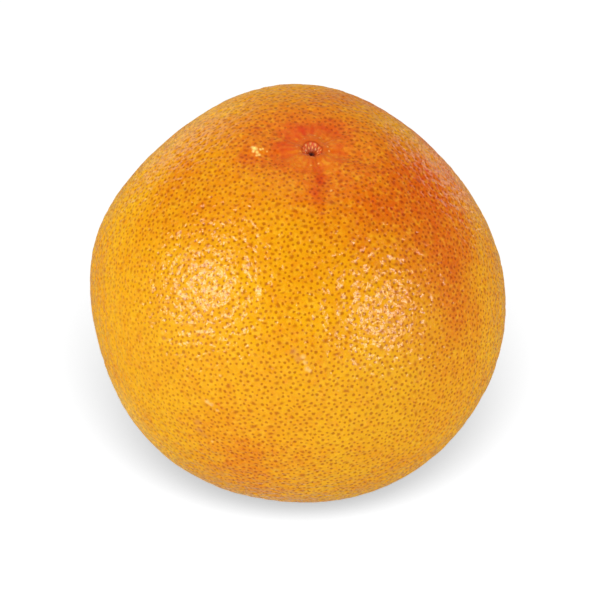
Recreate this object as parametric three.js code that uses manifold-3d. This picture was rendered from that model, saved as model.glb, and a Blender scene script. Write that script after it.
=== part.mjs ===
// A whole grapefruit as picked, one closed solid, in millimetres and +Z up.
// It lies on a small flat spot centred on the origin, with its stem end up and tipped towards the front (-Y).
import * as THREE from "three";
import { ConvexGeometry } from "three/addons/geometries/ConvexGeometry.js";
import { mergeVertices } from "three/addons/utils/BufferGeometryUtils.js";
import Module from "manifold-3d";

// Body. Bearings are in degrees: azimuth 0 is the front and 90 the right, elevation is above the horizon.
const BALL_RADIUS = 52; // the fruit is nearly a ball, and the swells below make it about 104 wide
const REST_RADIUS = 10; // of the flat spot that it lies on
const SWELLS = [
  { where: "crown behind the stem", azimuth: 180, elevation: 65, spread: 26, height: 1.65 },
  { where: "right shoulder", azimuth: 111, elevation: 38, spread: 30, height: -1.8 },
  { where: "left shoulder", azimuth: -114, elevation: 41, spread: 24, height: -1.1 },
  { where: "left cheek", azimuth: -97, elevation: 15, spread: 24, height: 1.1 },
  { where: "left flank", azimuth: -84, elevation: -12, spread: 20, height: -0.9 },
  { where: "front of the base", azimuth: -14, elevation: -64, spread: 20, height: -0.6 },
  { where: "right of the base", azimuth: 54, elevation: -52, spread: 26, height: 0.45 },
  { where: "right cheek", azimuth: 81, elevation: -18, spread: 30, height: 0.6 },
  { where: "back", azimuth: 165, elevation: -8, spread: 34, height: 0.8 },
  { where: "left of the back", azimuth: -150, elevation: -30, spread: 26, height: -0.9 },
];

// Stem end: a shallow basin with furrows that run out of it, and the scar that the stalk left.
const STEM = { azimuth: 10.5, elevation: 68.5 };
const BASIN = { reach: 10, depth: 1.5 };
const SHOULDER = { out: 17, reach: 7, height: 0.5 }; // the low swell that rings the basin
const FURROWS = { bearings: [12, 79, 134, 219, 274], halfAngle: 15, out: 9, reach: 7, depth: 0.8 };
const FURROW_NET = { rings: [3.4, 5, 6.4, 8, 9.8, 12], perRing: 30 }; // corners that carry the furrows
const SCAR = { radius: 2.5, depth: 2, flutes: 11, fluteDepth: 0.16 };
const COLLAR = { radius: 3.5, halfWidth: 0.95, stands: 0.35 }; // the ring of old tissue round the scar

// Blossom end, opposite the stem: a slight dimple with a small round scar.
const BLOSSOM_DIMPLE = { reach: 6, depth: 0.5 };
const BLOSSOM_SCAR = { radius: 1.7, depth: 0.5 };

// Peel: pores, fewer and wider than the real ones, which are too fine for this mesh.
const PORES = { count: 1000, corners: 4, radius: 1.5, sizeRange: 0.2, depth: 0.55, jog: 0.24 };
const PORES_CLEAR_OF = { stem: 13.5, blossom: 4, rest: 12 };

const FRUIT_COLOUR = 0xee9222;
const UP = new THREE.Vector3(0, 1, 0); // the axis that three.js lathes turn about

// The direction from the fruit's middle at a bearing.
function bearing({ azimuth, elevation }) {
  const turn = THREE.MathUtils.degToRad(azimuth);
  const rise = THREE.MathUtils.degToRad(elevation);
  return new THREE.Vector3(Math.sin(turn) * Math.cos(rise), -Math.cos(turn) * Math.cos(rise), Math.sin(rise));
}

// 1 at the middle of a hump, and falling smoothly away over its spread.
function bell(distance, spread) {
  return Math.exp(-((distance / spread) ** 2));
}

const stemAxis = bearing(STEM);
const blossomAxis = stemAxis.clone().negate();
const restAxis = new THREE.Vector3(0, 0, -1);
const frontOfStem = bearing({ azimuth: STEM.azimuth, elevation: STEM.elevation - 90 });
const rightOfStem = frontOfStem.clone().cross(stemAxis).negate();
const swellAxes = SWELLS.map(bearing);

// How far along the skin a direction is from an axis.
function alongSkin(direction, axis) {
  return direction.angleTo(axis) * BALL_RADIUS;
}

// The furrows, the basin that they run out of and the swell round it, at a direction.
function stemEndHeight(direction) {
  const out = alongSkin(direction, stemAxis);
  const turn = Math.atan2(direction.dot(rightOfStem), direction.dot(frontOfStem));
  let height = -BASIN.depth * bell(out, BASIN.reach);
  height += SHOULDER.height * bell(out - SHOULDER.out, SHOULDER.reach);
  for (const furrow of FURROWS.bearings) {
    const off = Math.abs(THREE.MathUtils.radToDeg(turn) - furrow) % 360;
    const across = bell(Math.min(off, 360 - off), FURROWS.halfAngle);
    height -= FURROWS.depth * across * bell(out - FURROWS.out, FURROWS.reach);
  }
  return height;
}

// The skin's distance from the fruit's middle, before its pores.
function skinRadius(direction) {
  let radius = BALL_RADIUS + stemEndHeight(direction);
  SWELLS.forEach((swell, i) => {
    const off = THREE.MathUtils.radToDeg(direction.angleTo(swellAxes[i]));
    radius += swell.height * bell(off, swell.spread);
  });
  const fromBlossom = alongSkin(direction, blossomAxis);
  return radius - BLOSSOM_DIMPLE.depth * bell(fromBlossom, BLOSSOM_DIMPLE.reach);
}

// Pores stay off both scars and the flat spot.
function carriesPores(direction) {
  return (
    alongSkin(direction, stemAxis) > PORES_CLEAR_OF.stem &&
    alongSkin(direction, blossomAxis) > PORES_CLEAR_OF.blossom &&
    alongSkin(direction, restAxis) > PORES_CLEAR_OF.rest
  );
}

// The same draws every time, from 0 to 1.
function seededDraws(seed) {
  let state = seed;
  return () => {
    state = (Math.imul(state, 1664525) + 1013904223) >>> 0;
    return state / 2 ** 32;
  };
}

// Directions spread evenly over a ball, each a golden angle on from the last and jogged a little.
function poreDirections() {
  const draw = seededDraws(7);
  const goldenAngle = Math.PI * (3 - Math.sqrt(5));
  const jog = PORES.jog * Math.sqrt((4 * Math.PI) / PORES.count);
  return Array.from({ length: PORES.count }, (_, i) => {
    const height = 1 - (2 * i + 1) / PORES.count;
    const ring = Math.sqrt(1 - height * height);
    const turn = i * goldenAngle;
    const jogs = [draw(), draw(), draw()].map((x) => jog * (2 * x - 1));
    return new THREE.Vector3(Math.cos(turn) * ring, Math.sin(turn) * ring, height)
      .add(new THREE.Vector3(...jogs))
      .normalize();
  });
}

// The corners of a pore's rim, evenly round its middle from a random start.
function rimDirections(pore, draw) {
  const spread = (PORES.radius * (1 + PORES.sizeRange * (2 * draw() - 1))) / BALL_RADIUS;
  const start = 2 * Math.PI * draw();
  const right = new THREE.Vector3(-pore.y, pore.x, 0).normalize();
  const up = pore.clone().cross(right);
  return Array.from({ length: PORES.corners }, (_, i) => {
    const turn = start + (2 * Math.PI * i) / PORES.corners;
    const out = right.clone().multiplyScalar(Math.cos(turn)).addScaledVector(up, Math.sin(turn));
    return pore.clone().addScaledVector(out, spread).normalize();
  });
}

// The corners and triangles of a geometry, with the corners that share a place merged.
function weld(geometry) {
  const bare = geometry.clone();
  bare.deleteAttribute("normal");
  bare.deleteAttribute("uv");
  return mergeVertices(bare, 1e-5);
}

// Directions in rings round an axis, at distances along the skin, each ring turned half a step on.
function ringDirections(axis, rings, perRing) {
  const toAxis = new THREE.Quaternion().setFromUnitVectors(UP, axis);
  return rings.flatMap((distance, ring) =>
    Array.from({ length: perRing }, (_, i) => {
      const turn = (2 * Math.PI * (i + (ring % 2) / 2)) / perRing;
      const upright = new THREE.Vector3().setFromSphericalCoords(1, distance / BALL_RADIUS, turn);
      return upright.applyQuaternion(toAxis);
    }),
  );
}

// The peel: a net over the middle and the rim of every pore, with each middle sunk below the skin.
function peelGeometry() {
  const draw = seededDraws(11);
  const pores = poreDirections().filter(carriesPores);
  const rims = pores.flatMap((pore) => rimDirections(pore, draw));
  const plain = [
    ...ringDirections(stemAxis, FURROW_NET.rings, FURROW_NET.perRing),
    ...ringDirections(blossomAxis, [0, 2.5], 10),
    ...ringDirections(restAxis, [0, 9], 12),
  ];
  const net = weld(new ConvexGeometry([...pores, ...rims, ...plain]));
  const corners = net.getAttribute("position");
  for (let i = 0; i < corners.count; i++) {
    const direction = new THREE.Vector3().fromBufferAttribute(corners, i).normalize();
    const isPore = pores.some((pore) => pore.distanceToSquared(direction) < 1e-8);
    const radius = skinRadius(direction) - (isPore ? PORES.depth : 0);
    corners.setXYZ(i, ...direction.multiplyScalar(radius).toArray());
  }
  return net;
}

// Stands a geometry that is made upright about the origin on the skin, along an axis from the fruit's middle.
function standOnSkin(geometry, axis) {
  geometry.applyQuaternion(new THREE.Quaternion().setFromUnitVectors(UP, axis));
  return geometry.translate(...axis.clone().multiplyScalar(skinRadius(axis)).toArray());
}

// Turns a closed profile of [out, up] pairs, whose ends are on the axis, into a solid.
function turnedGeometry(profile, sides) {
  return weld(new THREE.LatheGeometry(profile.map(([out, up]) => new THREE.Vector2(out, up)), sides));
}

// The ring of old tissue round the stem scar, sunk well into the peel.
function collarGeometry() {
  const ring = new THREE.TorusGeometry(COLLAR.radius, COLLAR.halfWidth, 10, 4 * SCAR.flutes);
  ring.rotateX(Math.PI / 2).translate(0, COLLAR.stands - COLLAR.halfWidth, 0);
  return standOnSkin(ring, stemAxis);
}

// What is missing at the stem scar: a fluted cup, with a small deeper hole in its floor.
function scarGeometry() {
  const { radius, depth, flutes, fluteDepth } = SCAR;
  const profile = [
    [0, -depth - 0.5],
    [0.25 * radius, -depth - 0.3],
    [0.35 * radius, -depth + 0.1],
    [0.7 * radius, -0.7 * depth],
    [0.92 * radius, -0.3 * depth],
    [radius, 0.1 * depth],
    [1.3 * radius, depth],
    [0, depth],
  ];
  const cup = turnedGeometry(profile, 4 * flutes);
  const position = cup.getAttribute("position");
  for (let i = 0; i < position.count; i++) {
    const turn = Math.atan2(position.getX(i), position.getZ(i));
    const share = 1 - (fluteDepth * (1 + Math.cos(flutes * turn))) / 2;
    position.setX(i, position.getX(i) * share);
    position.setZ(i, position.getZ(i) * share);
  }
  return standOnSkin(cup, stemAxis);
}

// What is missing at the blossom end: a shallow round cup.
function blossomGeometry() {
  const { radius, depth } = BLOSSOM_SCAR;
  const profile = [
    [0, -depth],
    [0.6 * radius, -0.8 * depth],
    [radius, 0],
    [1.6 * radius, 3 * depth],
    [0, 3 * depth],
  ];
  return standOnSkin(turnedGeometry(profile, 16), blossomAxis);
}

const wasm = await Module();
wasm.setup();

function solidOf(geometry) {
  const merged = weld(geometry);
  return new wasm.Manifold(
    new wasm.Mesh({
      numProp: 3,
      vertProperties: merged.getAttribute("position").array,
      triVerts: new Uint32Array(merged.index.array),
    }),
  );
}

function geometryOf(solid) {
  const { vertProperties, triVerts } = solid.getMesh();
  const geometry = new THREE.BufferGeometry();
  geometry.setAttribute("position", new THREE.BufferAttribute(vertProperties, 3));
  geometry.setIndex(new THREE.BufferAttribute(triVerts, 1));
  geometry.computeVertexNormals();
  return geometry;
}

// The fruit lies on its skin, pressed flat where it touches, so its middle is a little under a radius up.
const middleHeight = Math.sqrt(skinRadius(restAxis) ** 2 - REST_RADIUS ** 2);

function fruitGeometry() {
  const underTable = new THREE.BoxGeometry(4 * BALL_RADIUS, 4 * BALL_RADIUS, BALL_RADIUS);
  underTable.translate(0, 0, -middleHeight - BALL_RADIUS / 2);
  const solid = solidOf(peelGeometry())
    .add(solidOf(collarGeometry()))
    .subtract(solidOf(scarGeometry()))
    .subtract(solidOf(blossomGeometry()))
    .subtract(solidOf(underTable));
  return geometryOf(solid);
}

const material = new THREE.MeshStandardMaterial({ color: FRUIT_COLOUR, roughness: 0.45, metalness: 0 });
const grapefruit = new THREE.Mesh(fruitGeometry(), material);
grapefruit.name = "grapefruit";
grapefruit.position.z = middleHeight;

const group = new THREE.Group();
group.add(grapefruit);
export default group;
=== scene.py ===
# %% [markdown]
# # A whole grapefruit
# A grapefruit is nearly a ball, so its likeness comes from what a plain ball lacks: an outline that is
# a little uneven, thousands of oil glands that show as dark dots in shallow pits, a blush that runs
# from gold to orange-red, and the small scar where the stalk let go. This lesson builds the peel as
# one mesh whose corners follow the pits, and gives it one material that reads what the mesh knows.
#
# The solid model is loaded first, so that the peel can take its place later.

# %% Load the solid model
import math
from functools import cached_property

import bpy
import numpy as np
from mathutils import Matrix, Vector, geometry, kdtree, noise


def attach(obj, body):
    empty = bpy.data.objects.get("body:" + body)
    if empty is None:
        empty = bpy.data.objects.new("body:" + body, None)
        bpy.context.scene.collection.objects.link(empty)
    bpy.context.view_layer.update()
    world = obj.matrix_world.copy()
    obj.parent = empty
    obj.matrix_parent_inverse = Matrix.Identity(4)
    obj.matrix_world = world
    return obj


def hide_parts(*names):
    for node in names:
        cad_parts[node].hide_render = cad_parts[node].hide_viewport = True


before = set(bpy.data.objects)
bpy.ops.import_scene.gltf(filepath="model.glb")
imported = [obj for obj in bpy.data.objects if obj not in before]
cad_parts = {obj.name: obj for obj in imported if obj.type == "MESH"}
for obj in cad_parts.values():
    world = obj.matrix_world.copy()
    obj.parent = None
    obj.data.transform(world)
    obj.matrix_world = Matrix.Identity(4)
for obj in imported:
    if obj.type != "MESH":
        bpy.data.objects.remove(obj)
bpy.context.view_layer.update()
MM = 0.001  # shapes are worked out in millimetres, and Blender's unit is the metre

# %% [markdown]
# ## The large form
# The body could be sculpted by hand, but a formula is easier to match to an outline: a distance from
# the fruit's middle for every direction. It is a ball with a radius of 52 mm, and broad bell-shaped
# swells and flats. These are the same named values as in the solid model, so that both have one
# outline.

# %% Bearings and bells
BALL_RADIUS = 52
REST_RADIUS = 10


def bearing(azimuth, elevation):
    """The direction at an azimuth (0 is the front, 90 the right) and an elevation, in degrees."""
    turn, rise = math.radians(azimuth), math.radians(elevation)
    return np.array([math.sin(turn) * math.cos(rise), -math.cos(turn) * math.cos(rise), math.sin(rise)])


def bell(distance, spread):
    """1 at the middle of a hump, falling smoothly away over its spread."""
    return np.exp(-((distance / spread) ** 2))


def unit(directions):
    return directions / np.linalg.norm(directions, axis=-1, keepdims=True)


def angle_from(directions, axis):
    """Angles in radians, from the chord, which stays exact where directions nearly agree."""
    return 2 * np.arcsin(np.clip(np.linalg.norm(directions - axis, axis=-1) / 2, 0, 1))


def along_skin(directions, axis):
    """How far along the skin directions are from an axis, in millimetres."""
    return angle_from(directions, axis) * BALL_RADIUS


print("a bell is", round(float(bell(1, 1)), 2), "at its spread")

# %% Swells, basin and furrows
SWELLS = [  # azimuth, elevation, spread in degrees, height in millimetres
    (180, 65, 26, 1.65),  # crown behind the stem
    (111, 38, 30, -1.8),  # right shoulder
    (-114, 41, 24, -1.1),  # left shoulder
    (-97, 15, 24, 1.1),  # left cheek
    (-84, -12, 20, -0.9),  # left flank
    (-14, -64, 20, -0.6),  # front of the base
    (54, -52, 26, 0.45),  # right of the base
    (81, -18, 30, 0.6),  # right cheek
    (165, -8, 34, 0.8),  # back
    (-150, -30, 26, -0.9),  # left of the back
]
STEM_AZIMUTH, STEM_ELEVATION = 10.5, 68.5
BASIN_REACH, BASIN_DEPTH = 10, 1.5
SHOULDER_OUT, SHOULDER_REACH, SHOULDER_HEIGHT = 17, 7, 0.5
FURROW_BEARINGS = (12, 79, 134, 219, 274)  # round the stem, from the front towards the right
FURROW_HALF_ANGLE, FURROW_OUT, FURROW_REACH, FURROW_DEPTH = 15, 9, 7, 0.8
DIMPLE_REACH, DIMPLE_DEPTH = 6, 0.5

stem_axis = bearing(STEM_AZIMUTH, STEM_ELEVATION)
blossom_axis = -stem_axis
rest_axis = np.array([0.0, 0.0, -1.0])
front_of_stem = bearing(STEM_AZIMUTH, STEM_ELEVATION - 90)
right_of_stem = np.cross(stem_axis, front_of_stem)


def round_stem(directions):
    """Distance along the skin from the stem, and the bearing round it in degrees."""
    turn = np.degrees(np.arctan2(directions @ right_of_stem, directions @ front_of_stem))
    return along_skin(directions, stem_axis), turn


def near_bearing(turn, middle, half_angle):
    """1 along a bearing, falling away to both sides of it."""
    off = np.abs(turn - middle) % 360
    return bell(np.minimum(off, 360 - off), half_angle)


def skin_radius(directions):
    """Distance of the smooth skin from the fruit's middle, in millimetres."""
    out, turn = round_stem(directions)
    radius = BALL_RADIUS - BASIN_DEPTH * bell(out, BASIN_REACH)
    radius = radius + SHOULDER_HEIGHT * bell(out - SHOULDER_OUT, SHOULDER_REACH)
    for middle in FURROW_BEARINGS:
        across = near_bearing(turn, middle, FURROW_HALF_ANGLE)
        radius = radius - FURROW_DEPTH * across * bell(out - FURROW_OUT, FURROW_REACH)
    for azimuth, elevation, spread, height in SWELLS:
        off = np.degrees(angle_from(directions, bearing(azimuth, elevation)))
        radius = radius + height * bell(off, spread)
    return radius - DIMPLE_DEPTH * bell(along_skin(directions, blossom_axis), DIMPLE_REACH)


middle_height = math.sqrt(skin_radius(rest_axis) ** 2 - REST_RADIUS**2)
print("the fruit's middle is", round(middle_height, 2), "mm above the table")

# %% [markdown]
# ## The camera, and from a pixel to a place on the peel
# The camera comes early, because marks are placed by where they show in the photograph, which is 600
# pixels square. It stands in front of the fruit, 25 degrees above the horizon, and 0.9 m away. A ray
# from it through a pixel meets the skin at one place. The skin isn't quite a ball, so that place is
# found by meeting a ball first, asking for the skin's radius there, and trying again.

# %% Camera
PHOTO_SIDE = 600
CAMERA_ELEVATION = 25
CAMERA_DISTANCE = 900
FOCAL_PIXELS = 3589  # focal length, in pixels of the photograph
FRUIT_MIDDLE_PIXEL = (297.8, 296.9)
SENSOR_MM = 36

to_camera = bearing(0, CAMERA_ELEVATION)
screen_right = np.array([1.0, 0.0, 0.0])
screen_up = np.cross(to_camera, screen_right)
mm_per_pixel = CAMERA_DISTANCE / FOCAL_PIXELS
half_side = PHOTO_SIDE / 2
camera_place = (
    to_camera * CAMERA_DISTANCE
    + screen_right * (half_side - FRUIT_MIDDLE_PIXEL[0]) * mm_per_pixel
    - screen_up * (half_side - FRUIT_MIDDLE_PIXEL[1]) * mm_per_pixel
)  # from the fruit's middle

camera = bpy.data.objects.new("camera", bpy.data.cameras.new("camera"))
bpy.context.scene.collection.objects.link(camera)
bpy.context.scene.camera = camera
camera.data.sensor_width = SENSOR_MM
camera.data.lens = FOCAL_PIXELS / PHOTO_SIDE * SENSOR_MM
camera.data.clip_start, camera.data.clip_end = 0.01, 20
camera.location = (camera_place + [0, 0, middle_height]) * MM
camera.rotation_euler = Vector(to_camera).to_track_quat("Z", "Y").to_euler()
print("the lens is", round(camera.data.lens), "mm and one pixel is", round(mm_per_pixel, 3), "mm")


# %% From a pixel to a direction
def skin_at(x, y):
    """The direction from the fruit's middle to what shows at a pixel of the photograph."""
    across, down = (x - half_side) / FOCAL_PIXELS, (y - half_side) / FOCAL_PIXELS
    ray = unit(-to_camera + screen_right * across - screen_up * down)
    radius = BALL_RADIUS
    for _ in range(6):
        nearest = -camera_place @ ray
        miss_squared = camera_place @ camera_place - nearest**2
        reach = math.sqrt(max(radius**2 - miss_squared, 0))
        direction = unit(camera_place + (nearest - reach) * ray)
        radius = skin_radius(direction)
    return direction


STEM_SCAR_PIXEL = (312, 149)
scar_axis = skin_at(*STEM_SCAR_PIXEL)
off_stem = along_skin(scar_axis, stem_axis)
print("the scar is", round(float(off_stem), 1), "mm from the basin's deepest place")

# %% [markdown]
# ## Where the pores are
# Oil glands crowd the peel evenly, but never in rows. Random points clump, and a golden-angle spiral
# shows its arms, so the spiral is jogged at random and then relaxed: each point is pushed off its
# near neighbours a few times. The scars, the wart and the flat spot stay clear of pores.

# %% Evenly spread directions
PORE_COUNT = 16400
PORE_GAP = BALL_RADIUS * math.sqrt(4 * math.pi / PORE_COUNT)  # in millimetres along the skin
GOLDEN_ANGLE = math.pi * (3 - math.sqrt(5))
draw = np.random.default_rng(5)


def spiral_directions(count, jog):
    index = np.arange(count)
    height = 1 - (2 * index + 1) / count
    ring = np.sqrt(1 - height**2)
    turn = index * GOLDEN_ANGLE
    spiral = np.stack([ring * np.cos(turn), ring * np.sin(turn), height], axis=1)
    return unit(spiral + draw.uniform(-jog, jog, spiral.shape))


def tree_of(directions):
    tree = kdtree.KDTree(len(directions))
    for i, direction in enumerate(directions):
        tree.insert(direction, i)
    tree.balance()
    return tree


PUSH_SHARE, PUSH_ROUNDS = 0.2, 3


def pushed_apart(directions, reach):
    tree = tree_of(directions)
    moved = []
    for i, direction in enumerate(map(Vector, directions)):
        push = Vector((0, 0, 0))
        for neighbour, j, gap in tree.find_range(direction, reach):
            if j != i:
                push += (direction - neighbour) * (reach / max(gap, 1e-6) - 1)
        moved.append(direction + PUSH_SHARE * push)
    return unit(np.array(moved))


pores = spiral_directions(PORE_COUNT, 0.6 * PORE_GAP / BALL_RADIUS)
for _ in range(PUSH_ROUNDS):
    pores = pushed_apart(pores, 1.1 * PORE_GAP / BALL_RADIUS)
print(PORE_COUNT, "pores stand", round(PORE_GAP, 2), "mm apart")

# %% Keep clear of the scars, the wart and the flat spot
WART_PIXEL = (256, 149)
PORES_CLEAR_OF_STEM = 6.9
PORES_CLEAR_OF_REST = 5.5
PORES_CLEAR_OF_WART = 1.9
PORES_CLEAR_OF_BLOSSOM = 2.9
wart_axis = skin_at(*WART_PIXEL)
kept = along_skin(pores, scar_axis) > PORES_CLEAR_OF_STEM
kept &= along_skin(pores, rest_axis) > PORES_CLEAR_OF_REST
kept &= along_skin(pores, wart_axis) > PORES_CLEAR_OF_WART
kept &= along_skin(pores, blossom_axis) > PORES_CLEAR_OF_BLOSSOM
pores = pores[kept]
print(len(pores), "pores are left")

# %% [markdown]
# ## One net over all of it
# The mesh has to have corners where the detail is: at every pore, in close rings at the stem scar,
# and round the few marks that stand up. A triangulation of scattered points does that. Seen from the
# south pole, the ball unrolls onto a plane in a way that keeps circles round (a stereographic map), so
# Blender's flat Delaunay triangulation gives the right net for the ball. The hole that is left at
# the pole is the flat spot that the fruit rests on, and one flat face closes it.

# %% Rings of plain corners
SCAR_RINGS = [  # distance from the scar's middle in millimetres, corners in the ring
    (0, 1), (0.22, 8), (0.45, 14), (0.65, 22), (0.85, 33), (1.1, 44), (1.35, 66), (1.6, 66),
    (1.85, 88), (2.05, 88), (2.2, 88), (2.35, 88), (2.5, 88), (2.65, 88), (2.85, 88), (3.1, 88),
    (3.4, 88), (3.7, 88), (4.0, 88), (4.35, 88), (4.75, 88), (5.2, 88), (5.7, 77), (6.3, 66),
]
REST_RING = [(4.2, 40)]
WART_RINGS = [(0, 1), (0.25, 6), (0.5, 12), (0.75, 18), (1.0, 20), (1.3, 18)]
BLOSSOM_RINGS = [(0, 1), (0.35, 8), (0.7, 14), (1.05, 20), (1.4, 26), (1.8, 26), (2.3, 26)]


def ring_directions(axis, rings):
    """Directions in rings round an axis, each ring turned half a step on from the last."""
    side = unit(np.cross(axis, [0.31, 0.2, 0.93]))
    other = np.cross(axis, side)
    made = []
    for k, (distance, corners) in enumerate(rings):
        turn = 2 * math.pi * (np.arange(corners) + k % 2 / 2) / corners
        off = distance / BALL_RADIUS
        outward = np.outer(np.cos(turn), side) + np.outer(np.sin(turn), other)
        made.append(axis * math.cos(off) + outward * math.sin(off))
    return np.concatenate(made)


scar_corners = ring_directions(scar_axis, SCAR_RINGS)
rest_corners = ring_directions(rest_axis, REST_RING)
wart_corners = ring_directions(wart_axis, WART_RINGS)
blossom_corners = ring_directions(blossom_axis, BLOSSOM_RINGS)
print(len(scar_corners), "corners carry the stem scar")

# %% Triangles between all the corners
points = np.concatenate([pores, scar_corners, wart_corners, blossom_corners, rest_corners])
unrolled = points[:, :2] / (1 + points[:, 2:])
flat_net = geometry.delaunay_2d_cdt([Vector(p) for p in unrolled], [], [], 0, 0.0)
came_from = [found[0] for found in flat_net[3]]
triangles = np.array([[came_from[corner] for corner in face] for face in flat_net[2]])
print(len(points), "corners make", len(triangles), "triangles")

# %% [markdown]
# ## Three sizes of pores
# Glands grow in different sizes, with the small ones in the gaps. The small pores are picked first, so
# that no two of them are neighbours in the net, and then the large ones, which keep a distance from
# one another. All others are middling.

# %% Large, middling and small pores
LARGE_GAP = 2.05  # no two large pores are nearer than this, in millimetres
neighbours = [set() for _ in points]
for a, b, c in triangles.tolist():
    neighbours[a] |= {b, c}
    neighbours[b] |= {a, c}
    neighbours[c] |= {a, b}

is_small = np.zeros(len(pores), bool)
for i in draw.permutation(len(pores)):
    is_small[i] = not any(j < len(pores) and is_small[j] for j in neighbours[i])

is_large = np.zeros(len(pores), bool)
pore_tree = tree_of(pores)
for i in draw.permutation(np.flatnonzero(~is_small)):
    near = pore_tree.find_range(pores[i], LARGE_GAP / BALL_RADIUS)
    is_large[i] = not any(is_large[j] for _, j, _ in near)
print(int(is_large.sum()), "pores are large and", int(is_small.sum()), "are small")


def by_size(large, middling, small):
    return np.where(is_large, large, np.where(is_small, small, middling))


# %% [markdown]
# ## A rim round the larger pores
# With one corner for each pore the peel could only be spiky. Each large or middling pore also gets a
# rim: a corner on every edge that leaves it, all at one distance. A triangle between three such pores
# is cut into three pit walls and one six-sided patch of skin. Small pores stay plain corners, which
# saves many triangles where the eye wouldn't see them.

# %% Cut the rims
RIM_LARGE, RIM_MIDDLING = 0.54, 0.45  # in millimetres from the pore's middle
LARGEST_SHARE = 0.46  # of an edge, so that two rims never meet
rim_radius = np.zeros(len(points))
rim_radius[: len(pores)] = by_size(RIM_LARGE, RIM_MIDDLING, 0) / BALL_RADIUS
rim_radius[: len(pores)] *= draw.uniform(0.85, 1.15, len(pores))

rim_corner = {}  # from an edge's two ends, in order, to the corner near its first end
rim_places = []


def corner_near(start, end):
    """The rim corner on the edge that leaves a pore, or the point itself if it has no rim."""
    if not rim_radius[start]:
        return start
    if (start, end) not in rim_corner:
        edge = points[end] - points[start]
        share = min(rim_radius[start] / np.linalg.norm(edge), LARGEST_SHARE)
        rim_corner[start, end] = len(points) + len(rim_places)
        rim_places.append(points[start] + share * edge)
    return rim_corner[start, end]


faces = []
for a, b, c in triangles.tolist():
    patch = []
    for here, after, before in ((a, b, c), (b, c, a), (c, a, b)):
        back, on = corner_near(here, before), corner_near(here, after)
        patch += [back] if back == on else [back, on]
        if rim_radius[here]:
            faces.append((here, on, back))
    faces.append(tuple(patch))
rest_ring = list(range(len(points) - len(rest_corners), len(points)))
directions = unit(np.concatenate([points, rim_places]))
print(len(faces), "faces on", len(directions), "corners")

# %% [markdown]
# ## Heights
# Now every corner gets its distance from the middle: the smooth skin, a slight unevenness, the pits
# and the scars. The stem scar is a small cup with fluted walls, where the stalk's veins broke off, in
# a low ring of dry tissue with fine folds. A wart stands beside it, and the blossom left a small
# sunk scar at the other end. Bump in the material would be easier for all of these, but it leaves the
# mesh smooth, and these are shapes that a finger feels.

# %% The stem scar's relief
CUP = [  # distance from the scar's middle, and height
    (0, -2.5), (0.4, -2.45), (0.62, -2.05), (1.1, -1.75),
    (1.7, -1.25), (2.1, -0.7), (2.4, -0.15), (2.6, 0),
]
FLUTES, FLUTE_DEPTH = 11, 0.16
COLLAR_OUT, COLLAR_WIDTH, COLLAR_HEIGHT = 3.45, 0.75, 0.34
STRANDS, STRAND_OUT = 22, 5.2  # fine ridges that run outward from the collar
FOLD_TURN, FOLD_HALF_ANGLE, FOLD_OUT, FOLD_HEIGHT = 182, 34, 4.3, 0.28  # a fold behind the cup
WART_OUT, WART_WIDTH, WART_HEIGHT = 0.65, 0.35, 0.3  # the wart's rim
BLOSSOM_RIM_OUT, BLOSSOM_RIM_HEIGHT, BLOSSOM_PIT_WIDTH, BLOSSOM_PIT_DEPTH = 1.4, 0.22, 0.6, 0.45
scar_out = along_skin(directions, scar_axis)
off_scar = directions - scar_axis
round_turn = np.arctan2(off_scar @ right_of_stem, off_scar @ front_of_stem)
scar_turn = np.degrees(round_turn)
strand_turn = STRANDS * round_turn + 2 * np.sin(3 * round_turn)


def scar_relief():
    squeeze = 1 - FLUTE_DEPTH * (1 + np.cos(FLUTES * round_turn)) / 2
    cup = np.interp(scar_out / squeeze, *zip(*CUP), right=0)
    folds = 1 + 0.3 * np.cos(17 * round_turn + 1) + 0.2 * np.cos(29 * round_turn)
    collar = COLLAR_HEIGHT * bell(scar_out - COLLAR_OUT, COLLAR_WIDTH) * (0.6 + 0.4 * folds)
    strands = 0.05 * np.cos(strand_turn) * bell(scar_out - STRAND_OUT, 1.4)
    fold = FOLD_HEIGHT * near_bearing(scar_turn, FOLD_TURN, FOLD_HALF_ANGLE)
    return cup + collar + strands + fold * bell(scar_out - FOLD_OUT, 0.45)


cup_depth = np.interp(scar_out, *zip(*CUP), right=0)
wart_out = along_skin(directions, wart_axis)
wart = WART_HEIGHT * bell(wart_out - WART_OUT, WART_WIDTH)
blossom_out = along_skin(directions, blossom_axis)
blossom = BLOSSOM_RIM_HEIGHT * bell(blossom_out - BLOSSOM_RIM_OUT, 0.4)
blossom = blossom - BLOSSOM_PIT_DEPTH * bell(blossom_out, BLOSSOM_PIT_WIDTH)
print("the cup is", round(float(-cup_depth.min()), 1), "mm deep")

# %% [markdown]
# ## Pits in hollows
# A real gland's pit is steep, but it lies in a wide shallow hollow, and it is the hollows that bend a
# mirrored lamp into flecks. So the skin sinks towards each large pore from further off, and each pore
# has its own steep pit on top of that. The fruit is then pressed flat where it rests.

# %% All heights together
INSIDE = 0.1  # the outermost bumps stay inside the solid's box
PIT_LARGE, PIT_MIDDLING, PIT_SMALL = 0.1, 0.1, 0.05
HOLLOW_DEPTH, HOLLOW_REACH = 0.42, 0.82  # the skin sinks towards a large pore from further off
UNEVEN = [(0.12, 7), (0.03, 2.4)]  # height and size of the skin's slow rise and fall, in millimetres
RIM_JOG = 0.008
PITS_FADE, UNEVEN_FADE = 4, 8  # millimetres outward, from the first pores and from the stem scar


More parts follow.
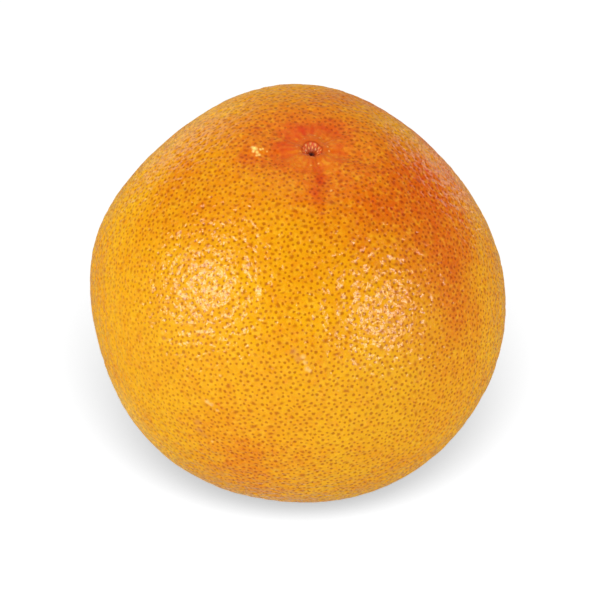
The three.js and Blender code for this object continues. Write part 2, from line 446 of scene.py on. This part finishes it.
def hollows():
    """How deep the skin lies at every corner, summed over the large pores near it."""
    deepest = by_size(HOLLOW_DEPTH, 0, 0) * draw.uniform(0.6, 1.3, len(pores))
    spread, reach = HOLLOW_REACH / BALL_RADIUS, 2 * HOLLOW_REACH / BALL_RADIUS
    depth = np.zeros(len(directions))
    for i, direction in enumerate(directions):
        near = pore_tree.find_range(direction, reach)
        depth[i] = sum(deepest[j] * math.exp(-((gap / spread) ** 2)) for _, j, gap in near)
    return depth


pit = hollows()
pit[: len(pores)] += by_size(PIT_LARGE, PIT_MIDDLING, PIT_SMALL) * draw.uniform(0.7, 1.25, len(pores))
pit *= np.clip((scar_out - PORES_CLEAR_OF_STEM) / PITS_FADE, 0.25, 1)
uneven = draw.uniform(-RIM_JOG, RIM_JOG, len(directions)) - INSIDE
for height, size in UNEVEN:
    uneven += [height * noise.noise(Vector(d * BALL_RADIUS / size)) for d in directions]
uneven *= np.clip(scar_out / UNEVEN_FADE, 0, 1)
radius = skin_radius(directions) + uneven + scar_relief() + wart + blossom - pit
places = directions * radius[:, None]
places[:, 2] = np.maximum(places[:, 2], -middle_height)
print("the peel spans", np.round(np.ptp(places, axis=0), 1), "mm")

# %% The mesh
peel_mesh = bpy.data.meshes.new("peel")
peel_mesh.from_pydata(((places + [0, 0, middle_height]) * MM).tolist(), [], faces + [rest_ring[::-1]])
peel_mesh.shade_smooth()
peel = bpy.data.objects.new("peel", peel_mesh)
peel.visible_diffuse = False  # or it would tint the white floor orange
bpy.context.scene.collection.objects.link(peel)
face_sizes = [len(face) for face in faces]
print("that is", sum(face_sizes) - 2 * len(face_sizes) + len(rest_ring) - 2, "triangles")
print("problems found in the mesh:", peel_mesh.validate(verbose=True))

# %% [markdown]
# ## A map for baked colours
# Whoever exports this fruit turns its material into a picture, and needs every face laid out flat.
# A ball doesn't lie flat, but the six sides of a cube round it do, with little stretching if each
# side is measured in angles. The six squares stand side by side in the picture, in three columns.

# %% Lay the six sides out
CELL_FILL = 0.93  # of a square's side, so that faces that hang over an edge stay inside
bake_map = peel_mesh.uv_layers.new(name="OFBake")
loop_corner = np.zeros(len(peel_mesh.loops), int)
peel_mesh.loops.foreach_get("vertex_index", loop_corner)
loop_total = np.zeros(len(peel_mesh.polygons), int)
peel_mesh.polygons.foreach_get("loop_total", loop_total)
loop_face = np.repeat(np.arange(len(loop_total)), loop_total)
face_middle = np.zeros((len(loop_total), 3))
np.add.at(face_middle, loop_face, directions[loop_corner])
axis = np.abs(face_middle).argmax(axis=1)
positive = np.take_along_axis(face_middle, axis[:, None], 1)[:, 0] > 0


def cell_places():
    loop_axis = axis[loop_face]
    rows = np.arange(len(loop_face))
    d = directions[loop_corner]
    depth = np.abs(d[rows, loop_axis])
    across = np.arctan(d[rows, (loop_axis + 1) % 3] / depth) * 4 / math.pi
    upward = np.arctan(d[rows, (loop_axis + 2) % 3] / depth) * 4 / math.pi
    column, row = loop_axis, positive[loop_face].astype(int)
    u = (column + 0.5 + across * CELL_FILL / 2) / 3
    v = (row + 0.5 + upward * CELL_FILL / 2) / 2
    return np.stack([u, v], axis=1)


bake_map.uv.foreach_set("vector", cell_places().astype(np.float32).ravel())
print("the map holds", len(loop_corner), "face corners")

# %% [markdown]
# ## What the peel knows about itself
# The material needs to know where a pore is, where the sun reddened the peel, and where the stem
# scar's tissue begins. Each is a number on every corner of the mesh, mostly between 0 and 1. The blush
# could be a noise, but it has its own places on this fruit, so it is painted with soft round dabs:
# each has the pixel of its middle, its reach in pixels and a strength. Nobody sees the far side in the
# photograph, so its dabs fall at random.

# %% Dabs on the side that the photograph shows
BLUSH_DABS = [  # x, y, reach in pixels, strength
    (425, 190, 62, 0.6),
    (460, 185, 38, 0.4),
    (455, 262, 45, 0.5),
    (492, 250, 28, 0.2),
    (395, 205, 60, 0.3),
    (420, 135, 32, 0.42),
    (424, 174, 28, 0.32),
    (442, 166, 32, 0.22),
    (398, 118, 26, 0.45),
    (430, 146, 24, 0.3),
    (374, 104, 16, 0.3),
    (455, 215, 30, 0.22),
    (387, 137, 30, 0.25),
    (358, 98, 28, 0.45),
    (330, 97, 34, 0.3),
    (315, 128, 55, 0.65),
    (330, 170, 60, 0.3),
    (240, 130, 60, 0.35),
    (175, 172, 32, 0.38),
    (150, 228, 35, 0.24),
    (340, 225, 65, 0.25),
    (265, 170, 60, 0.3),
    (285, 380, 50, 0.1),
    (245, 455, 48, 0.42),
    (255, 492, 50, 0.3),
    (385, 475, 45, 0.16),
    (205, 215, 35, 0.2),
    (465, 330, 50, 0.32),
    (430, 300, 40, 0.22),
    (450, 400, 50, 0.12),
]
STEM_DABS = [  # red dabs round the stem, strongest in the furrows between its lobes
    (290, 143, 13, 0.4),
    (283, 148, 11, 0.45),
    (288, 157, 9, 0.45),
    (300, 131, 11, 0.75),
    (312, 131, 10, 0.5),
    (332, 132, 12, 0.7),
    (337, 152, 10, 0.65),
    (315, 162, 5, 0.5),
    (318, 169, 6, 0.9),
    (320, 177, 6, 0.8),
    (320, 184, 6, 0.7),
    (315, 192, 7, 0.6),
    (318, 200, 7, 0.4),
    (246, 158, 9, 0.4),
]
EDGE_SHEEN_DABS = [  # painted sheen: the left edge lightened, most below, as the white floor's reflection
    (98, 385, 34, 0.26),
    (128, 412, 34, 0.26),
    (150, 442, 32, 0.22),
    (185, 474, 26, 0.12),
    (94, 215, 26, 0.16),
]


def dabs(list_of_dabs):
    total = np.zeros(len(directions))
    for x, y, reach, strength in list_of_dabs:
        total += strength * bell(along_skin(directions, skin_at(x, y)), reach * mm_per_pixel)
    return total


blush = dabs(BLUSH_DABS)
stem_blush = dabs(STEM_DABS)
print("blush from", round(float(blush.min()), 2), "to", round(float(blush.max()), 2))

# %% Dabs on the far side
FAR_DABS = 26
for _ in range(FAR_DABS):
    middle = unit(draw.normal(size=3))
    hidden = np.clip(-3 * (middle @ to_camera) - 0.6, 0, 1)
    blush += hidden * draw.uniform(0.1, 0.5) * bell(along_skin(directions, middle), draw.uniform(9, 20))
print("with the far side, blush averages", round(float(blush.mean()), 2))

# %% How strongly each pore shows
PALE_SIDE, PALE_SIDE_REACH = (110, 345), 90  # the glands are faint here
pore_mark = np.zeros(len(directions))
pore_mark[: len(pores)] = by_size(1, 0.95, 0) * draw.uniform(0.8, 1.1, len(pores))
small_pore_mark = np.zeros(len(directions))
small_pore_mark[: len(pores)] = by_size(0, 0, 1) * draw.uniform(0.8, 1.1, len(pores))
faintness = 1 - 0.5 * bell(along_skin(directions, skin_at(*PALE_SIDE)), PALE_SIDE_REACH * mm_per_pixel)
faintness *= np.clip((scar_out - PORES_CLEAR_OF_STEM) / 3, 0.3, 1)
print("the glands' dots are", round(float(faintness.min()), 2), "as dark at the faintest")

# %% Where the wax is rubbed
CROWN_BEARING, CROWN_SPREAD = (180, 78), 24  # degrees
FAR_FROM, FAR_FADE = 80, 22  # degrees off the way to the camera
crown = bell(np.degrees(angle_from(directions, bearing(*CROWN_BEARING))), CROWN_SPREAD)
far_side = np.clip((np.degrees(angle_from(directions, to_camera)) - FAR_FROM) / FAR_FADE, 0, 1)
print("the wax is rubbed on", round(100 * float(np.mean(np.maximum(crown, far_side)))), "% of the peel")

# %% Store what the material reads
CUP_REACH, CUP_EDGE_OUT, CUP_SHADE_REACH = 2.65, 2.55, 1.0
COLLAR_IN, COLLAR_END = 2.4, 5.0
flute = (1 - np.cos(FLUTES * round_turn)) / 2
# Vein ends in the cup: pale tissue, painted brighter as glints
outer_vein_glints = flute**4 * bell(scar_out - 2.2, 0.13)
inner_vein_glints = (1 - flute) ** 4 * bell(scar_out - 1.6, 0.16)
collar_mark = np.clip((scar_out - COLLAR_IN) / 0.2, 0, 1) * np.clip((COLLAR_END - scar_out) / 1.6, 0, 1)
knowledge = {
    "rubbed": np.maximum(crown, far_side),
    "pore": pore_mark,
    "small_pore": small_pore_mark,
    "faintness": faintness,
    "blush": blush,
    "stem_blush": stem_blush,
    "pale": dabs(EDGE_SHEEN_DABS),
    "collar": collar_mark,
    "blossom": bell(blossom_out, 1.9),
    "strand": (1 + np.cos(strand_turn)) / 2 * bell(scar_out - STRAND_OUT, 1.8),
    "cup": np.clip((CUP_REACH - scar_out) / 0.25, 0, 1),
    "cup_edge": bell(scar_out - CUP_EDGE_OUT, 0.16),
    "cup_floor": np.clip((CUP_SHADE_REACH - scar_out) / 0.4, 0, 1),
    "vein": outer_vein_glints + inner_vein_glints,
}
for name, values in knowledge.items():
    layer = peel_mesh.attributes.new(name, "FLOAT", "POINT")
    layer.data.foreach_set("value", np.clip(values, 0, 1.5).astype(np.float32))
print("the mesh knows", ", ".join(knowledge))

# %% [markdown]
# ## Shader maths in plain Python
# A material is a net of nodes, and a sum of three masks already takes a dozen lines of linking. A
# small class that stands for a node's output lets a mask be written as `1 - pore * 0.5`, and one
# method makes any other node from its type, its settings and its inputs.


# %% A wire and a recipe
class Wire:
    """The output of a node, to be used in sums as a number is."""

    def __init__(self, recipe, socket):
        self.recipe, self.socket = recipe, socket

    def maths(self, operation, first, second, clamp=False):
        settings = {"operation": operation, "use_clamp": clamp}
        return self.recipe.node("ShaderNodeMath", settings, {0: first, 1: second})

    def __add__(self, other):
        return self.maths("ADD", self, other)

    def __sub__(self, other):
        return self.maths("SUBTRACT", self, other)

    def __rsub__(self, other):
        return self.maths("SUBTRACT", other, self)

    def __mul__(self, other):
        return self.maths("MULTIPLY", self, other)

    def __pow__(self, other):
        return self.maths("POWER", self, other)

    def held(self):
        """Kept between 0 and 1."""
        return self.maths("ADD", self, 0, clamp=True)

    __radd__, __rmul__ = __add__, __mul__


class Recipe:
    """A material under construction."""

    def __init__(self, name):
        self.material = bpy.data.materials.new(name)
        self.material.use_nodes = True
        self.tree = self.material.node_tree
        self.tree.nodes.clear()

    def node(self, kind, settings=None, inputs=None, output=0):
        """Any node, from its type, its settings and what goes into its sockets."""
        made = self.tree.nodes.new(kind)
        for name, value in (settings or {}).items():
            setattr(made, name, value)
        for name, value in (inputs or {}).items():
            if isinstance(value, Wire):
                self.tree.links.new(value.socket, made.inputs[name])
            else:
                made.inputs[name].default_value = value
        return Wire(self, made.outputs[output])

    def known(self, name):
        """A number that the mesh knows."""
        return self.node("ShaderNodeAttribute", {"attribute_name": name}, output="Fac")

    def blend(self, first, second, share, way="MIX"):
        """A colour between two others, or one laid over the other in some way."""
        settings = {"data_type": "RGBA", "blend_type": way}
        return self.node("ShaderNodeMix", settings, {0: share, 6: first, 7: second}, output=2)

    def between(self, value, low, high):
        """0 at one value and 1 at another, with a soft start and end."""
        settings = {"interpolation_type": "SMOOTHSTEP"}
        return self.node("ShaderNodeMapRange", settings, {0: value, 1: low, 2: high, 3: 0.0, 4: 1.0})

    def grain(self, size, detail=2.0, roughness=0.5):
        """Soft noise with a size in millimetres, around 0.5."""
        inputs = {
            "Vector": self.place,
            "Scale": 1 / (size * MM),
            "Detail": detail,
            "Roughness": roughness,
        }
        return self.node("ShaderNodeTexNoise", None, inputs)

    def spot(self, direction, reach):
        """1 at a place on the skin, falling to 0 at a reach in millimetres."""
        middle = (direction * skin_radius(direction) + [0, 0, middle_height]) * MM
        away = {0: self.place, 1: middle}
        distance = self.node("ShaderNodeVectorMath", {"operation": "DISTANCE"}, away, output="Value")
        return self.between(distance, reach * MM, 0.0)

    @cached_property
    def place(self):
        """Where a point of the surface is."""
        return self.node("ShaderNodeTexCoord", output="Object")

    def finish(self, shader):
        """Make a shader the material's surface."""
        out = self.tree.nodes.new("ShaderNodeOutputMaterial")
        self.tree.links.new(shader.socket, out.inputs["Surface"])
        return self.material


def paint(red, green, blue):
    """A colour as a screen shows it, in steps of 255, turned into the light that a shader counts in."""
    steps = (value / 255 for value in (red, green, blue))
    linear = [s / 12.92 if s <= 0.04045 else ((s + 0.055) / 1.055) ** 2.4 for s in steps]
    return (*linear, 1.0)


print("gold peel is", [round(part, 3) for part in paint(214, 138, 24)])

# %% [markdown]
# ## The peel's material
# Under a thin wax the peel is a cloudy, juicy layer, so light enters it and comes out near by. The
# colour starts as gold, turns orange where the blush is, is flecked with pale gold, is painted paler
# at the left edge as a sheen from the white floor, and reddens round the stem. Each gland multiplies
# it by a brownish shade, which darkens it as oil does. Then come the stem scar's colours: its own,
# with painted glints on its vein ends and painted shade in its deepest hole. A Principled shader
# gives the wax its gloss and, at the edges, its sheen.

# %% Colours
GOLD = paint(224, 160, 4)
LIGHT_GOLD = paint(246, 188, 40)
# pale gold for the painted sheen on the left edge
SHEEN_PALE_GOLD = paint(252, 206, 90)
ORANGE = paint(205, 90, 0)
RED = paint(200, 52, 2)
GLAND_SHADE = (0.66, 0.48, 0.08, 1)  # what a gland leaves of the skin's colour
DRY_TAN = paint(192, 88, 20)
CUP_WALL = paint(196, 70, 8)
CUP_EDGE = paint(140, 30, 4)
CUP_FLOOR_SHADE = paint(70, 14, 8)
VEIN_END_GLINT = paint(246, 190, 96)
WART_GLINT = paint(250, 214, 116)
BLOSSOM_BROWN = paint(150, 96, 44)
# pale of scar tissue, also used for painted glints
SCAR_AND_GLINT_PALE = paint(240, 190, 110)
SCUFF_TAN = paint(196, 130, 70)
SPECK_BROWN = paint(120, 44, 10)
print("gold counts as", [round(part, 3) for part in GOLD[:3]])

# %% The skin's own colour
peel_recipe = Recipe("peel")
cloudy = peel_recipe.grain(9, detail=3.0)
mottle = peel_recipe.grain(2.2)
redness = peel_recipe.known("blush") + 0.7 * (cloudy - 0.5) + 0.35 * (mottle - 0.5) + 0.06
skin = peel_recipe.blend(GOLD, ORANGE, redness.held())
speckle = peel_recipe.grain(1.3, detail=1.0)
skin = peel_recipe.blend(skin, LIGHT_GOLD, ((speckle - 0.5) * 1.2).held())
# Painted sheen: the left edge is lightened as the white floor's reflection would make it.
skin = peel_recipe.blend(skin, SHEEN_PALE_GOLD, peel_recipe.known("pale"))
round_stem_redness = peel_recipe.known("stem_blush") + 0.4 * (mottle - 0.5)
skin = peel_recipe.blend(skin, RED, round_stem_redness.held())
print("the skin's own colour has", len(peel_recipe.tree.nodes), "nodes")

# %% Glands, collar, cup and blossom scar
large_dot = peel_recipe.between(peel_recipe.known("pore"), 0.0, 0.4)
small_dot = peel_recipe.between(peel_recipe.known("small_pore"), 0.3, 0.85)
dot = (large_dot + small_dot) * peel_recipe.known("faintness")
skin = peel_recipe.blend(skin, GLAND_SHADE, dot.held(), way="MULTIPLY")
skin = peel_recipe.blend(skin, LIGHT_GOLD, 0.16 * peel_recipe.known("strand"))
collar = peel_recipe.known("collar") * (1.6 * peel_recipe.grain(0.7) - 0.1)
skin = peel_recipe.blend(skin, DRY_TAN, collar.held())
blossom_scar = peel_recipe.known("blossom") * (1.6 * peel_recipe.grain(0.8))
skin = peel_recipe.blend(skin, BLOSSOM_BROWN, blossom_scar.held())
skin = peel_recipe.blend(skin, CUP_WALL, peel_recipe.known("cup"))
skin = peel_recipe.blend(skin, CUP_EDGE, 0.7 * peel_recipe.known("cup_edge"))
# Painted glints: the cup's vein ends, pale tissue made brighter as where a lamp glints on them.
skin = peel_recipe.blend(skin, VEIN_END_GLINT, (0.9 * peel_recipe.known("vein")).held())
# Painted shade: the cup's deepest hole is dark red tissue, painted darker as the shade inside it.
skin = peel_recipe.blend(skin, CUP_FLOOR_SHADE, peel_recipe.known("cup_floor"))
print("the peel's colour has", len(peel_recipe.tree.nodes), "nodes")

# %% [markdown]
# ## Scuffs, scars, specks and painted glints
# A fruit that grew against twigs has pale scars, rubbed patches and dark specks, most of them finer
# than the mesh. Some pale spots are painted glints instead: on the wart, on the stem scar's collar and
# on two small bumps left of the wart. Each is a spot: its strength comes from how far a point is from
# the spot's middle. A painted picture could hold them too, but it would blur close up. Noise makes
# the spots ragged.

# %% Marks on the side that the photograph shows
MARKS = {  # colour and strength, then x, y and reach in pixels
    # Painted glint: the wart's pale C-shaped ring, where a lamp shines on its wet rim.
    "wart": (
        WART_GLINT,
        0.9,
        [
            (251.8, 146.2, 2.6), (253.5, 148.3, 3), (255.5, 149, 3.4), (253.3, 151.2, 2.6),
            (257.1, 152.2, 2.6), (260.4, 149.3, 2), (259.3, 154.4, 2.4), (256.6, 155, 2),
            (262.8, 148.6, 1.7), (267, 151.2, 1.6),
        ],
    ),
    "collar_tissue_and_glints": (
        SCAR_AND_GLINT_PALE,
        0.75,
        [
            # The first four spots are painted glints on the collar's crest, the next four its pale
            # ridge behind the cup, the last two painted glints in front of it.
            (297, 147.5, 1.7), (300, 151.5, 1.4), (327.5, 147, 1.6), (329, 151, 1.5),
            (304.5, 139.5, 1.8), (309.5, 136.8, 1.8), (314.5, 136.2, 1.8), (319.5, 138.2, 1.5),
            (318.5, 163.5, 1.4), (311, 165, 1.3),
        ],
    ),
    "scuffs": (
        SCUFF_TAN,
        0.5,
        [(294, 352, 6), (298, 359, 6), (197, 423, 6), (199, 431, 6), (204, 437, 5)],
    ),
    "scars": (
        SCAR_AND_GLINT_PALE,
        0.8,
        [
            (303, 357, 4), (305, 363, 4), (307, 369, 4), (310, 371, 3), (207, 402, 4), (211, 405, 3.5),
            # (222, 146) and (227, 145) are painted glints on small bumps, not scars
            (217, 411, 3), (212, 442, 2.5), (222, 146, 2), (227, 145, 1.6), (331, 190, 2.4),
            (220, 376, 2.4),
        ],
    ),
    "red_streaks": (
        RED,
        0.8,
        [(463, 220, 4), (461, 214, 3.5), (424, 177, 5), (427, 170, 4), (218, 405, 3)],
    ),
    "specks": (
        SPECK_BROWN,
        0.85,
        [(281, 449, 2), (230.5, 448.5, 1.7), (228.5, 453.5, 1.8), (181, 281, 2.2)],
    ),
}
ragged = 0.4 + 1.2 * peel_recipe.grain(0.5)


def marked(skin, colour, strength, spots):
    """The skin's colour with ragged spots on it."""
    share = sum(peel_recipe.spot(direction, reach) for direction, reach in spots)
    return peel_recipe.blend(skin, colour, (strength * share * ragged).held())


for colour, strength, spots in MARKS.values():
    spots = [(skin_at(x, y), reach * mm_per_pixel) for x, y, reach in spots]
    skin = marked(skin, colour, strength, spots)
print(sum(len(spots) for _, _, spots in MARKS.values()), "spots are in the photograph")

# %% Marks on the far side
FAR_MARKS = {  # colour and strength, then azimuth and elevation in degrees, and reach in millimetres
    "scuffs": (
        SCUFF_TAN,
        0.5,
        [(152, 31, 1.6), (155, 29, 1.5), (158, 30, 1.3), (-128, -8, 1.4), (-131, -6, 1.2)],
    ),
    "scars": (
        SCAR_AND_GLINT_PALE,
        0.7,
        [(161, 26, 0.9), (163, 24, 0.8), (-168, 12, 0.7), (112, -22, 0.8), (-100, 30, 0.7)],
    ),
    "specks": (SPECK_BROWN, 0.8, [(172, 2, 0.5), (-143, 24, 0.45), (126, -34, 0.5), (139, 8, 0.4)]),
}
for colour, strength, spots in FAR_MARKS.values():
    skin = marked(skin, colour, strength, [(bearing(turn, rise), reach) for turn, rise, reach in spots])
print("with its marks the colour has", len(peel_recipe.tree.nodes), "nodes")

# %% [markdown]
# ## Wax
# Wax fills the skin's finest grain unevenly. Bump is right for that, because it is too low to change
# the outline, and it breaks the mirrored lamps into flecks. The wax is duller at the crown and at the
# back, where it rubs off when fruits lie in a box: the photograph doesn't show it, so this is a guess.

# %% Gloss and fine relief
RUBBED_ROUGHNESS = 0.3  # added where the wax is rubbed
grain = peel_recipe.grain(0.9, detail=1.0) + peel_recipe.grain(1.8, detail=1.0)
relief = peel_recipe.node(
    "ShaderNodeBump",
    None,
    {"Strength": 0.7, "Distance": 0.22 * MM, "Height": grain},
)
wax = peel_recipe.node(
    "ShaderNodeBsdfPrincipled",
    {"subsurface_method": "RANDOM_WALK"},
    {
        "Base Color": skin,
        "Roughness": 0.21 + 0.1 * mottle + RUBBED_ROUGHNESS * peel_recipe.known("rubbed"),
        "IOR": 1.45,
        "Specular IOR Level": 0.4,
        "Sheen Weight": 0.15,
        "Sheen Roughness": 0.3,
        "Normal": relief,
        "Subsurface Weight": 0.12,
        "Subsurface Radius": (1.0, 0.45, 0.15),
        "Subsurface Scale": 1.5 * MM,
    },
)
peel_mesh.materials.append(peel_recipe.finish(wax))
print("the peel's material has", len(peel_recipe.tree.nodes), "nodes")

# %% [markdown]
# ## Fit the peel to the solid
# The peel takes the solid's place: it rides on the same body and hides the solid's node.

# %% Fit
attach(peel, "root")
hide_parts("grapefruit")
print("the peel replaces the solid's node")

# %% [markdown]
# ## Floor and light
# The fruit lies on plain white that hardly darkens under it, as on a sheet of acrylic lit from below,
# so the floor glows a little. It isn't mirrored in the peel, where it would lie as a haze over the
# fruit's lower half.

# %% Floor
FLOOR_HALF = 3.0  # metres
FLOOR_GLOW = 0.5
floor_mesh = bpy.data.meshes.new("floor")
corners = [(-1, -1), (1, -1), (1, 1), (-1, 1)]
floor_mesh.from_pydata([(x * FLOOR_HALF, y * FLOOR_HALF, 0) for x, y in corners], [], [(0, 1, 2, 3)])
floor = bpy.data.objects.new("floor", floor_mesh)
bpy.context.scene.collection.objects.link(floor)
floor.visible_glossy = False
floor_recipe = Recipe("floor")
acrylic = floor_recipe.node(
    "ShaderNodeBsdfPrincipled",
    None,
    {
        "Base Color": (0.9, 0.9, 0.9, 1),
        "Roughness": 1.0,
        "Specular IOR Level": 0.0,
        "Emission Color": (1, 1, 1, 1),
        "Emission Strength": FLOOR_GLOW,
    },
)
floor_mesh.materials.append(floor_recipe.finish(acrylic))
print("the floor is", 2 * FLOOR_HALF, "m wide")

# %% [markdown]
# ## Lamps
# Two soft lights stand low in front, on the left and the right, and show as bright patches on the
# peel. Two weaker ones behind pale its upper edges, and panels that aren't mirrored even out the rest.
# One lamp for both would light the floor unevenly, so each lamp is linked to what it lights: the peel
# alone, or the floor, on which the fruit then casts its shadow backwards.

# %% Lights
# Each has its way as right, up and towards the camera, its distance and size in metres, its power in
# watts, and what it lights.
LIGHTS = {
    "left_softbox": ((-0.746, 0.09, 0.656), 1.1, 0.5, 8.4, peel),
    "right_softbox": ((0.7, -0.12, 0.7), 1.1, 0.38, 6.3, peel),
    "back_left_softbox": ((-0.429, 0.622, -0.656), 1.6, 0.7, 1.3, peel),
    "back_right_softbox": ((0.53, 0.47, -0.7), 1.6, 0.5, 0.8, peel),
    "top_panel": ((0, 0.985, 0.1), 1.5, 2.0, 21.5, peel),
    "left_panel": ((-0.93, -0.08, 0.36), 1.5, 0.5, 2.9, peel),
    "right_panel": ((0.95, 0.25, 0.15), 1.5, 1.5, 4.4, peel),
    "floor_panel": ((0, 0.242, 0.97), 12.0, 5.5, 1290.0, floor),
}
WORLD_STRENGTH = 0.09
fruit_middle = Vector((0, 0, middle_height * MM))
for name, ((right, up, toward), distance, size, power, only) in LIGHTS.items():
    way = Vector(screen_right * right + screen_up * up + to_camera * toward).normalized()
    lamp = bpy.data.objects.new(name, bpy.data.lights.new(name, "AREA"))
    lamp.data.shape, lamp.data.size, lamp.data.energy = "DISK", size, power
    lamp.location = fruit_middle + way * distance
    lamp.rotation_euler = way.to_track_quat("Z", "Y").to_euler()
    lamp.light_linking.receiver_collection = bpy.data.collections.new(name + "_lights")
    lamp.light_linking.receiver_collection.objects.link(only)
    lamp.visible_glossy = name.endswith("softbox")
    bpy.context.scene.collection.objects.link(lamp)
    print(name, "stands", round(lamp.location.z, 2), "m up")

world = bpy.data.worlds.new("white_room")
bpy.context.scene.world = world
world.use_nodes = True
world.node_tree.nodes["Background"].inputs["Color"].default_value = (1, 1, 1, 1)
world.node_tree.nodes["Background"].inputs["Strength"].default_value = WORLD_STRENGTH
bpy.context.scene.view_settings.view_transform = "Standard"
print("the room's strength is", WORLD_STRENGTH)
